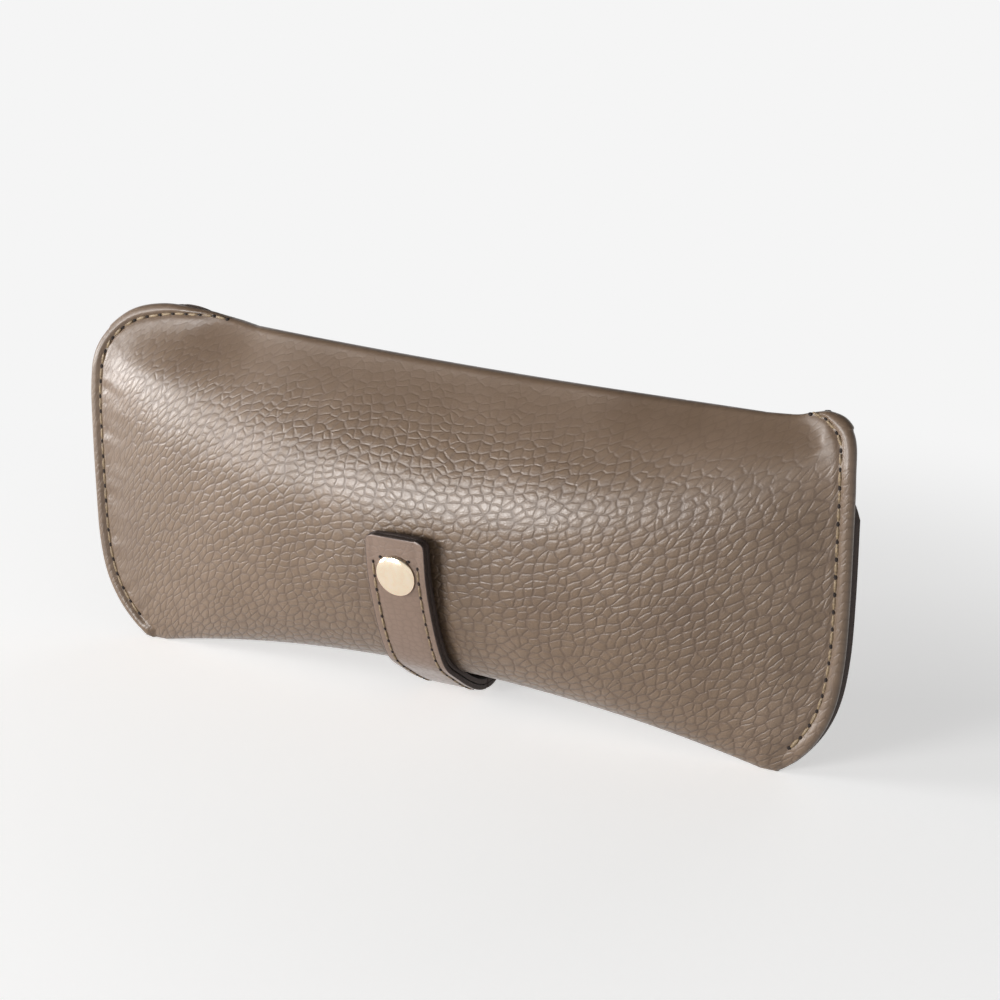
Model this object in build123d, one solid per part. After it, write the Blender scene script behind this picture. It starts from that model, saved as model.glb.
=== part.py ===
"""Soft leather glasses case, closed: a pillow-shaped pocket pinched flat at both ends,
a flap that folds over the top and down the back, and a strap that runs under the case
and snaps on the front. Millimetres, +Z up, front towards -Y, length along X."""
import os
from math import acos, asin, cos, radians, sin, sqrt

from build123d import *

# Overall size of the case
length = 180.0
end_height = 78.7
crest_dip = 4.7
fold_height = 8.0
front_bulge = 14.5
back_bulge = 15.0

# Outline of the pinched ends, seen from the front
tip_flat_depth = 0.6
lower_corner_radius = 40.0
lower_corner_top = 30.0
upper_corner_height = 21.7
upper_corner_width = 18.0
sewn_edge_width = 5.0
pinch_power = 2.2
pinch_round = 0.9

# Thickness of each sheet, and the glue line between two of them
leather_thickness = 1.2
padding_thickness = 0.6
lining_thickness = 0.6
glue_gap = 0.25
edge_gap = 0.35

# Where the padding ends: distance from the case's ends, length of its thinned margin,
# turns round the oval at which it starts and ends, and distance below the mouth
padding_margin = 18.0
padding_taper = 10.0
padding_fold_turn = 20.0
padding_crest_turn = 160.0
padding_below_mouth = 4.0

# Mouth of the pocket, at the back under the flap
mouth_middle_height = 54.0
mouth_end_height = 60.0
mouth_corner_width = 8.0
mouth_corner_drop = 9.0

# Flap
flap_fold_y = 4.2
flap_half_width = 52.5
flap_straight_half_width = 24.0
flap_edge_height = 20.0
flap_shoulder_drop = 6.0
flap_corner_overrun = 0.6
flap_clearance = 0.9
fold_gap = 0.3
flap_lift_turn = 36.0

# Strap, its two layers, and the places where it bends
strap_width = 13.5
strap_layer = 1.1
strap_glue = 0.05
strap_end_radius = 1.6
strap_end_height = 41.5
strap_base_height = 36.0
bend_back_share = 0.7
bend_front_share = 0.175
bend_gap = 0.3

# Route of the strap: heights and gaps over the pocket on the front, the point where it
# leaves the front, then shares of the depth behind the seam and heights under the case
strap_gap_at_end = 1.35
strap_gap_at_snap = 1.55
strap_front_route = ((26.0, 1.05), (18.5, 0.65), (13.0, 0.45))
strap_leaves_front = 4.6
strap_leaves_height = 6.2
strap_under_route = (
    (0.0, 2.9), (0.23, 0.6), (0.44, -0.35), (0.65, 0.2), (0.82, 2.9), (0.93, 8.0), (0.97, 14.0)
)
strap_joins_flap = 1.5
strap_on_flap_height = 28.0

# Press stud
snap_height = 33.5
cap_diameter = 9.0
cap_height = 1.0
cap_rim_height = 0.35
cap_post_diameter = 3.0
socket_diameter = 7.6
socket_bottom = 1.2
socket_bore_diameter = 5.2
socket_roof = 0.5
socket_recess = 0.35
stud_base_diameter = 7.6
stud_base_height = 0.45
stud_neck_diameter = 2.9
stud_head_diameter = 3.6
stud_head_bottom = 0.95
stud_head_top = 1.65
stud_post_diameter = 2.6
washer_diameter = 7.0
washer_thickness = 0.5
washer_gap = 0.3
washer_fit = 0.02
fit_clearance = 0.15
seat_gap = 0.03
cap_seat_gap = 0.06
root_overlap = 0.1

# Sewing
stitch_pitch = 3.5
stitch_length = 2.5
stitch_width = 0.6
stitch_height = 0.35
stitch_lift = 0.12
edge_stitch_lift = 0.45
seam_inset = 2.8
seam_start_height = 5.0
seam_end_gap = 4.0
mouth_seam_inset = 2.5
mouth_seam_end_gap = 4.0
flap_seam_inset = 2.6
flap_seam_top_drop = 9.0
strap_stitch_pitch = 3.3
strap_stitch_inset = 1.7
strap_seam_margin = 0.016
strap_seam_below_snap = 0.04

# Sizes that follow from the ones above
crest_height = end_height - crest_dip
upper_corner_bottom = end_height - upper_corner_height
lower_corner_x = length / 2 - lower_corner_radius
upper_corner_x = length / 2 - upper_corner_width
tip_drop = lower_corner_top + tip_flat_depth
tip_x = lower_corner_x + sqrt(lower_corner_radius ** 2 - tip_drop ** 2)
seam_x = length / 2 - sewn_edge_width
edge_half = leather_thickness + glue_gap + lining_thickness + edge_gap
padding_end_x = length / 2 - padding_margin
mouth_corner_x = length / 2 - mouth_corner_width

# How far the case reaches in front of and behind its seam plane. The seam plane is set so
# that the origin lies under the middle of the whole depth.
strap_thickness = 2 * strap_layer + strap_glue
snap_stand_off = strap_thickness + strap_gap_at_snap
flap_outside = flap_clearance + leather_thickness + glue_gap + lining_thickness
front_reach = front_bulge + snap_stand_off + cap_height
back_reach = back_bulge + flap_outside + strap_glue + strap_thickness
back_reach += stitch_lift + stitch_height
seam_y = (front_reach - back_reach) / 2

points_along_section = 49
points_along_strap = 90
flap_side_step = 3.5
least_step = 0.05
middle_shares = (0, 0.27, 0.53, 0.76, 0.95, 0.998)
end_shares = (0, 0.18, 0.35, 0.47, 0.69, 0.78, 0.85, 0.93, 1)


def half_depth(x, bulge):
    """Half depth of the pillow at x, which runs from its bulge to the flat sewn edge."""
    share = min(abs(x) / seam_x, 1.0)
    return edge_half + (bulge - edge_half) * (1 - share ** pinch_power) ** pinch_round


def bottom(x):
    """Height of the bottom fold at x, and outside the tip, of the rounded lower corner."""
    if abs(x) <= tip_x:
        return fold_height - (fold_height + tip_flat_depth) * (x / tip_x) ** 2
    drop = sqrt(lower_corner_radius ** 2 - (abs(x) - lower_corner_x) ** 2)
    return lower_corner_top - drop


def top(x):
    """Height of the crest at x, and at the ends, of the rounded upper corner."""
    if abs(x) <= upper_corner_x:
        return crest_height + crest_dip * (x / upper_corner_x) ** 2
    share = min((abs(x) - upper_corner_x) / upper_corner_width, 1.0)
    return upper_corner_bottom + upper_corner_height * sqrt(1 - share ** 2)


def section_size(x, turn, inset):
    """Centre height, half height and half depth of the oval at x, drawn in by inset."""
    bulge = front_bulge if sin(turn) >= 0 else back_bulge
    centre = (top(x) + bottom(x)) / 2
    half_height = (top(x) - bottom(x)) / 2 - inset
    return centre, half_height, half_depth(x, bulge) - inset


def section_point(x, turn, inset):
    """A point of the oval at x. turn goes from the bottom fold up the front."""
    centre, half_height, depth = section_size(x, turn, inset)
    return Vector(x, seam_y - depth * sin(turn), centre - half_height * cos(turn))


def turn_at_height(x, height, inset, side):
    """The turn at which the oval at x reaches a height, on the front (1) or the back (-1)."""
    centre, half_height, depth = section_size(x, side, inset)
    return side * acos(max(-1.0, min(1.0, (centre - height) / half_height)))


def turn_behind_crest(x, distance, inset):
    """The turn at which the oval has passed over its crest and lies behind the seam plane."""
    centre, half_height, depth = section_size(x, -1, inset)
    return radians(180) + asin(min(1.0, distance / depth))


def padding_at(x):
    """The padding thins out towards the sewn ends."""
    share = max(0.0, min(1.0, (seam_x - abs(x)) / (seam_x - padding_end_x + padding_taper)))
    return (padding_thickness + glue_gap) * share


def lining_inset(x):
    return leather_thickness + glue_gap + padding_at(x)


def mouth_height(x):
    """The mouth is cut in a shallow curve, with rounded outer corners."""
    rise = mouth_end_height - mouth_middle_height
    height = mouth_middle_height + rise * min(1.0, abs(x) / mouth_corner_x) ** 2
    past = max(0.0, abs(x) - mouth_corner_x) / mouth_corner_width
    return height - mouth_corner_drop * (1 - sqrt(1 - past ** 2))


def flap_edge(x):
    """Lower edge of the flap: straight in the middle, with large rounded corners."""
    corner = flap_half_width + flap_corner_overrun - flap_straight_half_width
    share = max(0.0, abs(x) - flap_straight_half_width) / corner
    rise = crest_height - flap_shoulder_drop - flap_edge_height
    return flap_edge_height + rise * (1 - sqrt(1 - share ** 2))


def flap_span(x):
    """The turns at which the flap's own face starts and ends at x."""
    first = turn_behind_crest(x, flap_fold_y + fold_gap / 2, 0.0) - radians(360)
    return first, turn_at_height(x, flap_edge(x), 0.0, -1)


def flap_lift(x, share):
    """How far the flap lies outside the pocket's own oval, at a share of its way down."""
    first, last = flap_span(x)
    rise = min(1.0, share * (last - first) / radians(flap_lift_turn))
    return flap_outside * rise * rise * (3 - 2 * rise)


def sheet(places, outer_inset, inner_inset, turns):
    """A curved sheet: outlines between two insets at each place along X, joined in order."""
    outlines = []
    for x in places:
        lines = []
        for inset in (outer_inset, inner_inset):
            first, last = turns(x, inset)
            line = []
            for step in range(points_along_section):
                share = step / (points_along_section - 1)
                line.append(section_point(x, first + (last - first) * share, inset(x, share)))
            lines.append(line)
        outer_line, inner_line = lines
        outlines.append(Wire([
            Spline(outer_line).edge(),
            Line(outer_line[-1], inner_line[-1]).edge(),
            Spline(list(reversed(inner_line))).edge(),
            Line(inner_line[0], outer_line[0]).edge(),
        ]))
    return Solid.make_loft(outlines, ruled=True)


def all_places(limit):
    """Places along X for the outlines of a sheet, out to a limit on both sides."""
    end_start = flap_half_width + flap_side_step
    half = [flap_half_width * share for share in middle_shares]
    half += [end_start + (length / 2 - end_start) * share for share in end_shares]
    half = [x for x in sorted(half + [tip_x]) if x < limit - least_step] + [limit]
    return [-x for x in reversed(half[1:])] + half


def pocket_turns(x, inset):
    """From the mouth down the back, round the bottom fold, up the front and over the crest."""
    first = turn_at_height(x, mouth_height(x), inset(x, 0), -1)
    if abs(x) < flap_half_width:
        return first, turn_behind_crest(x, flap_fold_y - fold_gap / 2, inset(x, 1))
    return first, radians(180)


def front_turns(x, inset):
    """The front wall alone, from just above the bottom fold to just below the crest."""
    return radians(padding_fold_turn), radians(padding_crest_turn)


def back_turns(x, inset):
    """The back wall alone, from just above the bottom fold to just below the mouth."""
    last = turn_at_height(x, mouth_height(x) - padding_below_mouth, inset(x, 1), -1)
    return radians(-padding_fold_turn), last


def flap_turns(x, inset):
    """From the fold behind the crest down the back to the flap's edge."""
    first = turn_behind_crest(x, flap_fold_y + fold_gap / 2, inset(x, 0)) - radians(360)
    return first, turn_at_height(x, flap_edge(x), inset(x, 1), -1)


def pocket_sheet(limit, outer, inner, turns):
    return sheet(all_places(limit), lambda x, share: outer(x), lambda x, share: inner(x), turns)


def flap_sheet(outer, inner):
    return sheet(
        all_places(flap_half_width),
        lambda x, share: outer - flap_lift(x, share),
        lambda x, share: inner - flap_lift(x, share),
        flap_turns,
    )


def outward(x, turn, inset=0.0):
    """Direction square to the wall, pointing out of the case."""
    step = 0.01
    along = section_point(x, turn + step, inset) - section_point(x, turn - step, inset)
    across = section_point(x + 0.2, turn, inset) - section_point(x - 0.2, turn, inset)
    normal = across.cross(along).normalized()
    away = section_point(x, turn, inset) - Vector(x, seam_y, (top(x) + bottom(x)) / 2)
    return normal if normal.dot(away) > 0 else normal * -1


def stitch(place, direction, normal, lift):
    """One stitch of thread, lying along its seam just above the leather."""
    middle = place + normal * (lift + stitch_height / 2)
    frame = Plane(origin=middle, x_dir=direction, z_dir=normal)
    return frame * Box(stitch_length, stitch_width, stitch_height)


def thread_along(places, normals, pitch=stitch_pitch, lift=stitch_lift):
    """A row of stitches at an even pitch along a line of points."""
    reached = [0.0]
    for first, second in zip(places, places[1:]):
        reached.append(reached[-1] + (second - first).length)
    row = []
    count = int((reached[-1] - stitch_length) / pitch) + 1
    for number in range(count):
        middle = stitch_length / 2 + number * pitch
        span = max(i for i in range(len(places) - 1) if reached[i] <= middle)
        share = (middle - reached[span]) / (reached[span + 1] - reached[span])
        place = places[span] + (places[span + 1] - places[span]) * share
        normal = normals[span] + (normals[span + 1] - normals[span]) * share
        direction = (places[span + 1] - places[span]).normalized()
        normal = (normal - direction * normal.dot(direction)).normalized()
        row.append(stitch(place, direction, normal, lift))
    return row


def save(shape, node):
    if isinstance(shape, list):
        shape = Compound(children=shape)
    export_step(shape, f"parts/{node}.step")


os.makedirs("parts", exist_ok=True)
below_floor = Pos(0, 0, -10) * Box(2 * length, 4 * back_reach, 20)

# Strap path: its outer face, from the free end down the front, under the case and up
# onto the flap. Each point is set by its distance outside the pocket's oval.


def outside_oval(height, distance, side):
    turn = turn_at_height(0, height, 0.0, side)
    place = section_point(0, turn, 0.0) + outward(0, turn) * distance
    return (place.Y, place.Z)


base_distance = flap_outside + strap_glue + strap_thickness
base_start = outside_oval(flap_edge_height + strap_joins_flap, base_distance, -1)
loop_depth = base_start[0] - seam_y
front_gaps = (
    (strap_end_height, strap_gap_at_end), (snap_height, strap_gap_at_snap), *strap_front_route
)
strap_route = [outside_oval(height, strap_thickness + gap, 1) for height, gap in front_gaps]
strap_route += [(seam_y - strap_leaves_front, strap_leaves_height)]
strap_route += [(seam_y + share * loop_depth, height) for share, height in strap_under_route]
strap_route += [
    base_start,
    outside_oval(strap_on_flap_height, base_distance, -1),
    outside_oval(strap_base_height, base_distance, -1),
]
strap_line = Spline([Vector(0, y, z) for y, z in strap_route]).edge()


def strap_point(share, depth):
    """A point at a share of the strap's length, at a depth below its outer face."""
    place = strap_line.position_at(share)
    along = strap_line.tangent_at(share)
    inwards = Vector(0, -along.Z, along.Y)
    return place + inwards * depth


def strap_share_at(y):
    """The share of the strap's length at which it passes under the case at y."""
    shares = [step / 2000 for step in range(600, 1800)]
    low = [share for share in shares if strap_line.position_at(share).Z < fold_height]
    return min(low, key=lambda share: abs(strap_line.position_at(share).Y - y))


def strap_run(first, last, outer, inner):
    """One stretch of one layer of the strap."""
    count = max(8, int((last - first) * points_along_strap))
    shares = [first + (last - first) * step / count for step in range(count + 1)]
    outer_line = [strap_point(share, outer) for share in shares]
    inner_line = [strap_point(share, inner) for share in reversed(shares)]
    outline = Wire([
        Spline(outer_line).edge(),
        Line(outer_line[-1], inner_line[0]).edge(),
        Spline(inner_line).edge(),
        Line(inner_line[-1], outer_line[0]).edge(),
    ])
    run = extrude(Face(outline), strap_width / 2, dir=(1, 0, 0), both=True)
    return run - below_floor


strap_length = strap_line.length
front_share = strap_share_at(seam_y + bend_front_share * loop_depth)
back_share = strap_share_at(seam_y + bend_back_share * loop_depth)
half_gap = bend_gap / 2 / strap_length
strap_stretches = {
    "strap_tip": (0.0, front_share - half_gap),
    "strap_bend": (front_share + half_gap, back_share - half_gap),
    "strap_base": (back_share + half_gap, 1.0),
}
strap_layers = {
    "leather": (0.0, strap_layer),
    "backing": (strap_layer + strap_glue, strap_thickness),
}

# Press stud frame: origin on the pocket's outer face, Z pointing out of the front
snap_turn = turn_at_height(0, snap_height, 0.0, 1)
snap_plane = Plane(
    origin=section_point(0, snap_turn, 0.0),
    x_dir=(1, 0, 0),
    z_dir=outward(0, snap_turn),
)
strap_at_snap = min(
    (step / 1000 for step in range(300)),
    key=lambda share: abs(strap_line.position_at(share).Z - snap_plane.origin.Z),
)
stand_off = abs((strap_point(strap_at_snap, 0) - snap_plane.origin).dot(snap_plane.z_dir))


def disc(diameter, low, high):
    """A round piece on the press stud's axis between two heights above the pocket."""
    return snap_plane * (Pos(0, 0, low) * Cylinder(
        diameter / 2, high - low, align=(Align.CENTER, Align.CENTER, Align.MIN)
    ))


post_hole = disc(stud_post_diameter + 2 * fit_clearance, -front_bulge / 2, stud_base_height)


def rounded_end(run):
    """Round the two corners of the strap's free end."""
    tip = strap_point(0, strap_thickness / 2)
    corners = [
        edge for edge in run.edges()
        if abs(abs(edge.center().X) - strap_width / 2) < 0.01
        and (edge.center() - Vector(edge.center().X, tip.Y, tip.Z)).length < strap_layer
        and edge.length < strap_layer * 1.5
    ]
    return fillet(corners, strap_end_radius)


# Pocket: outer leather, padding and lining
def zero(x):
    return 0.0


def leather_inside(x):
    return leather_thickness


def padding_outside(x):
    return leather_thickness + glue_gap


def padding_inside(x):
    return leather_thickness + padding_at(x)


def lining_inside(x):
    return lining_inset(x) + lining_thickness


pocket_leather = pocket_sheet(length / 2, zero, leather_inside, pocket_turns)
save(pocket_leather - below_floor - post_hole, "pocket_leather")
pocket_lining = pocket_sheet(length / 2, lining_inset, lining_inside, pocket_turns)
save(pocket_lining - post_hole, "pocket_lining")
front_padding = pocket_sheet(padding_end_x, padding_outside, padding_inside, front_turns)
save(front_padding - post_hole, "front_padding")
save(pocket_sheet(padding_end_x, padding_outside, padding_inside, back_turns), "back_padding")

# Flap
flap_leather = flap_sheet(0.0, leather_thickness)
lining_start = leather_thickness + glue_gap
save(flap_leather, "flap_leather")
save(flap_sheet(lining_start, lining_start + lining_thickness), "flap_lining")


# Side seams: one row of thread on each face of each pinched end
def end_seam(side, face):
    """Points and normals up one end, a seam's inset inside the outline."""
    inner_radius = lower_corner_radius - seam_inset
    line = []
    for step in range(31):
        height = seam_start_height + (lower_corner_top - seam_start_height) * step / 30
        drop = lower_corner_top - height
        line.append((lower_corner_x + sqrt(inner_radius ** 2 - drop ** 2), height))
    for step in range(1, 41):
        angle = radians(90 * step / 40)
        width = upper_corner_width - seam_inset
        rise = upper_corner_height - seam_inset
        line.append((upper_corner_x + width * cos(angle), upper_corner_bottom + rise * sin(angle)))
    for step in range(1, 11):
        x = upper_corner_x + (flap_half_width + seam_end_gap - upper_corner_x) * step / 10
        line.append((x, top(x) - seam_inset))
    if face < 0:
        line = [(x, height) for x, height in line if height < mouth_height(x) - mouth_seam_inset]
    places, normals = [], []
    for x, height in line:
        turn = turn_at_height(x, height, 0.0, face)
        places.append(section_point(side * x, turn, 0.0))
        normals.append(outward(side * x, turn))
    return places, normals


for name, side in (("left", -1), ("right", 1)):
    thread = []
    for face in (1, -1):
        thread += thread_along(*end_seam(side, face), lift=edge_stitch_lift)
    save(thread, f"{name}_seam_thread")


# Mouth seam: one row of thread below the mouth's edge, on the back
def mouth_seam():
    places, normals = [], []
    for step in range(81):
        x = (step / 80 * 2 - 1) * (mouth_corner_x - mouth_seam_end_gap)
        turn = turn_at_height(x, mouth_height(x) - mouth_seam_inset, 0.0, -1)
        places.append(section_point(x, turn, 0.0))
        normals.append(outward(x, turn))
    return places, normals


# Flap seam: one row of thread inside the flap's free edge
def flap_point(x, height):
    """A point on the flap's outer face and the direction out of it."""
    first, last = flap_span(x)
    inset = -flap_outside
    for trial in range(6):
        turn = turn_at_height(x, height, inset, -1)
        inset = -flap_lift(x, (turn - first) / (last - first))
    return section_point(x, turn, inset), outward(x, turn, inset)


def flap_seam():
    places, normals = [], []
    reach = flap_half_width - flap_seam_inset
    for step in range(121):
        angle = radians(-90 + 180 * step / 120)
        x = reach * sin(angle)
        height = flap_edge(x * flap_half_width / reach) + flap_seam_inset
        place, normal = flap_point(x, min(height, crest_height - flap_seam_top_drop))
        places.append(place)
        normals.append(normal)
    return places, normals


save(thread_along(*mouth_seam()), "mouth_thread")
flap_thread = [
    one for one in thread_along(*flap_seam())
    if abs(one.center().X) > strap_width / 2 + stitch_length
]
save(flap_thread, "flap_thread")

# Strap
socket_hole = disc(socket_diameter + 2 * fit_clearance, -1, stand_off + 1)
cap_hole = disc(cap_post_diameter + 2 * fit_clearance, 0, stand_off + 1)
for stretch, (first, last) in strap_stretches.items():
    for layer, (outer, inner) in strap_layers.items():
        run = strap_run(first, last, outer, inner)
        if stretch == "strap_tip":
            run = rounded_end(run)
            run = run - (cap_hole if layer == "leather" else socket_hole)
        save(run, f"{stretch}_{layer}")
    seam = []
    for side in (-1, 1):
        start = first + strap_seam_margin
        if stretch == "strap_tip":
            start = strap_at_snap + strap_seam_below_snap
        end = last - strap_seam_margin
        shares = [start + (end - start) * step / 60 for step in range(61)]
        across = Vector(side * (strap_width / 2 - strap_stitch_inset), 0, 0)
        places = [strap_point(share, 0) + across for share in shares]
        normals = [strap_point(share, -1) - strap_point(share, 0) for share in shares]
        seam += thread_along(places, normals, strap_stitch_pitch)
    if stretch != "strap_bend":
        save(seam, f"{stretch}_thread")

# Press stud: cap and socket on the strap, stud and washer on the pocket
cap_low = stand_off + cap_seat_gap
dome_rise = cap_height - cap_rim_height
cap_radius = cap_diameter / 2
dome_radius = (cap_radius ** 2 + dome_rise ** 2) / (2 * dome_rise)
dome = snap_plane * (Pos(0, 0, cap_low + cap_height - dome_radius) * Sphere(dome_radius))
cap = disc(cap_diameter, cap_low, cap_low + cap_height) & dome
socket_high = stand_off - strap_layer - socket_recess
save(cap + disc(cap_post_diameter, socket_high, cap_low + root_overlap), "snap_cap")

socket = disc(socket_diameter, socket_bottom, socket_high)
socket = socket - disc(socket_bore_diameter, 0, socket_high - socket_roof)
save(socket, "snap_socket")

inner_face = -(lining_inside(0) + washer_gap)
stud = disc(stud_base_diameter, seat_gap, stud_base_height)
stud = stud + disc(stud_neck_diameter, stud_base_height - root_overlap, stud_head_top)
stud = stud + disc(stud_head_diameter, stud_head_bottom, stud_head_top)
stud = stud + disc(stud_post_diameter, inner_face - washer_thickness, root_overlap)
save(stud, "snap_stud")
washer = disc(washer_diameter, inner_face - washer_thickness, inner_face)
washer_bore = disc(stud_post_diameter + washer_fit, inner_face - 1, inner_face + 1)
washer = washer - washer_bore
save(washer, "snap_washer")

# Joint places, printed for the record
fold_line = [
    section_point(x, turn_behind_crest(x, flap_fold_y, 0.0), 0.0)
    for x in all_places(flap_half_width)
]
hinge_height = max(place.Z for place in fold_line)
print("flap fold axis", round(seam_y + flap_fold_y, 4), round(hinge_height, 4))
for name, share in (("back bend", back_share), ("front bend", front_share)):
    place = strap_point(share, 0.0)
    print(name, round(place.Y, 4), round(place.Z, 4))
print("seam plane", round(seam_y, 4), "strap length", round(strap_length, 2))
print("stand off", round(stand_off, 3))
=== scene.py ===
from functools import partial
from math import cos, pi, radians, sin

import bpy
import numpy as np
from mathutils import Matrix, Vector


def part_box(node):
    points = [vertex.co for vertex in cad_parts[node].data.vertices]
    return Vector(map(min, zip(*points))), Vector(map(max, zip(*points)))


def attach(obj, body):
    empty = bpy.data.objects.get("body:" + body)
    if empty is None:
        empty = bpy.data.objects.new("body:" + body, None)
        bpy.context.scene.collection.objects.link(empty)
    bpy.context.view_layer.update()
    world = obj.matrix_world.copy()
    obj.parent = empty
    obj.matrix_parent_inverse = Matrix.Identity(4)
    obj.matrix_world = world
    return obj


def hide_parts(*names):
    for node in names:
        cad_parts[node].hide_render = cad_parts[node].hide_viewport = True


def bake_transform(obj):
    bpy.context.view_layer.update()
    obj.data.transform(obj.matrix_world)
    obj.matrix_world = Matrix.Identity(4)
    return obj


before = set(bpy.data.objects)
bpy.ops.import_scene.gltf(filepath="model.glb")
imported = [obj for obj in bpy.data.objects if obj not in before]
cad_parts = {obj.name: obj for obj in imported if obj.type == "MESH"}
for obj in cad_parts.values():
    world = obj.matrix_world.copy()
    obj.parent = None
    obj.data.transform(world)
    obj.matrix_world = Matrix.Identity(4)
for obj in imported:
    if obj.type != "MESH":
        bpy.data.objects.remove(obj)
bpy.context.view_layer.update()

# ---------------------------------------------------------------------------
# Pocket leather. One cut of soft taupe leather, 1.2 mm, folded at the bottom
# into a front and a back wall. The ends are sewn flat: the front's edge is
# turned in and rolled, the back's is cut raw and painted dark.

MM = 0.001
front_bulge, back_bulge = 14.5, 15.0
seam_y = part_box("pocket_leather")[0].y / MM + front_bulge
leather_thickness = 1.2
rolled_thickness = 2.05         # the turned edge is two layers
roll_radius = 1.03
raw_flange_thickness = 2.1
skived_thickness = 0.8          # pared down where the ends turn over the top
raw_edge_inset = 0.3
front_wall = (-1, front_bulge, 2.15)    # its way in Y, its fullness, and how
back_wall = (1, back_bulge, 2.25)       # far its sewn ends are off the seam
sewn_x, sewn_half_depth = 85.0, 2.4
stitch_line_inset = 2.75
groove_depth, groove_width = 0.42, 0.6
fold_height, fold_drop, tip_x = 8.0, 8.6, 75.76
mouth_middle, mouth_rise, mouth_half = 54.0, 6.0, 82.0
mouth_corner, mouth_corner_drop = 8.0, 9.0
hinge_depth = 4.2               # how far behind the crest the flap starts
bare_turnover = 1.6             # how far the leather goes over it elsewhere
flap_half_width = 52.5
left_end = [(-76.2, 0), (-80.5, 2.8), (-85, 7.9), (-88.2, 14.5),
            (-89.7, 23), (-90, 34), (-90, 48), (-89.5, 60), (-87.2, 69.8),
            (-80.8, 76.6), (-71.5, 79.3), (-61, 78.9), (-53, 77.6),
            (-46, 76.4)]
right_end = [(76.2, 0), (81, 3.6), (85.3, 9.2), (88.2, 16.5), (89.6, 26),
             (90, 38), (90, 52), (89.9, 62), (89.2, 69.4), (87, 73.2),
             (83.3, 74.7), (79.5, 74.2), (76, 73.2), (70, 72.7)]
left_corner, right_corner = (-84.5, 72.5), (87.6, 72.0)
end_middle = 45.0               # parts an end's outline in upper and lower
fading_x = {-1: (51, 66), 1: (74, 86)}  # where the sewn ends run out
last_stitch_x = {-1: 54.0, 1: 78.5}
rounding_off = 2.5              # from the fold's tip to the full flange
shoulder_middle, shoulder_rise = 42.5, 9.0
top_slope = 1.28
corner_lean, corner_drop = 4.2, 0.30
crest_rounding = 1.4            # how far the fold's curve reaches each way
pucker_waves = ((0.16, 3.6, 0, 0), (0.14, 8.3, 1.2, 0),
                (0.12, 5.1, 0, 0.35))   # depth, pitch, phase and slant
unevenness = 0.16
floor_gap = 0.02                # the case stands on its two bottom tips
wall_columns, front_rows, back_rows, crest_rows = 231, 100, 50, 7
rim_rings = 6


def ease(low, high, value):
    share = np.clip((np.asarray(value, float) - low) / (high - low), 0, 1)
    return share * share * (3 - 2 * share)


def closer_at_ends(count, share):
    """Places from -1 to 1 that lie closer together at both ends."""
    spread = share * pi / 2
    return np.sin(np.linspace(-1, 1, count) * spread) / sin(spread)


def run_along(points):
    """The distance along a line, or down each column of a grid."""
    steps = np.linalg.norm(np.diff(points, axis=0), axis=-1)
    return np.concatenate([0 * steps[:1], np.cumsum(steps, axis=0)])


def picked(values, run, places):
    """A line's values at some distances along it."""
    return np.stack([np.interp(places, run, axis) for axis in values.T],
                    axis=-1)


def even_line(line, count):
    run = run_along(line)
    return picked(line, run, np.linspace(0, run[-1], count))


def smooth_line(points, count):
    """Evenly spaced points on a smooth line through the given ones."""
    points = np.array(points, float)
    ends = (2 * points[:1] - points[1:2], 2 * points[-1:] - points[-2:-1])
    knots = np.vstack([ends[0], points, ends[1]])
    t = np.linspace(0, 1, 40, endpoint=False)[:, None]
    parts = []
    for a, b, c, d in zip(knots, knots[1:], knots[2:], knots[3:]):
        parts.append(0.5 * (2 * b + (c - a) * t
                            + (2 * a - 5 * b + 4 * c - d) * t ** 2
                            + (3 * b - a - 3 * c + d) * t ** 3))
    return even_line(np.vstack(parts + [points[-1:]]), count)


def directions(line):
    along = np.gradient(line, axis=0)
    return along / np.linalg.norm(along, axis=1)[:, None]


def moved_in(line, side, distance):
    """The line moved towards the middle of the case."""
    along = directions(line)
    inward = np.column_stack([-side * along[:, 1], side * along[:, 0]])
    return line + inward * np.reshape(distance, (-1, 1))


def crest_line(x):
    return 73.9 - 0.040 * x + 0.00033 * x * x


def fold_line(x):
    return np.maximum(fold_height - fold_drop * (x / tip_x) ** 2, floor_gap)


def with_height(x, line):
    return np.stack([x, line(x)], axis=-1)


end_lines, end_runs, end_presence, seam_ends = {}, {}, {}, {}
for side, points in ((-1, left_end), (1, right_end)):
    line = smooth_line(points, 520)
    run = run_along(line)
    start = np.clip(run / rounding_off, 0, 1)
    fade = ease(*fading_x[side], side * line[:, 0])
    end_lines[side], end_runs[side] = line, run
    end_presence[side] = np.sqrt(1 - (1 - start) ** 2) * fade
    seam_ends[side] = run[side * line[:, 0] > last_stitch_x[side]][-1]

crest_points = with_height(np.linspace(-45.5, 69.5, 150), crest_line)
fold_points = with_height(np.linspace(-76, 76, 200), fold_line)
left, right = end_lines[-1], end_lines[1]
upper_line = np.vstack([left[left[:, 1] > end_middle], crest_points,
                        right[right[:, 1] > end_middle][::-1]])
lower_line = np.vstack([left[left[:, 1] <= end_middle][::-1], fold_points,
                        right[right[:, 1] <= end_middle]])


def seam_inset(side, run):
    """How far the stitches lie inside the outline: at the top of an end
    they run up to it."""
    last = np.where(side < 0, seam_ends[-1], seam_ends[1])
    nearing = np.where(side < 0, 22.0, 9.0)
    usual = np.where(side < 0, stitch_line_inset, stitch_line_inset + 0.4)
    return usual - (usual - 0.7) * ease(last - nearing, last, run)


def upper(x):
    return np.interp(x, *upper_line.T)


def lower(x):
    return np.interp(x, *lower_line.T)


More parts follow.
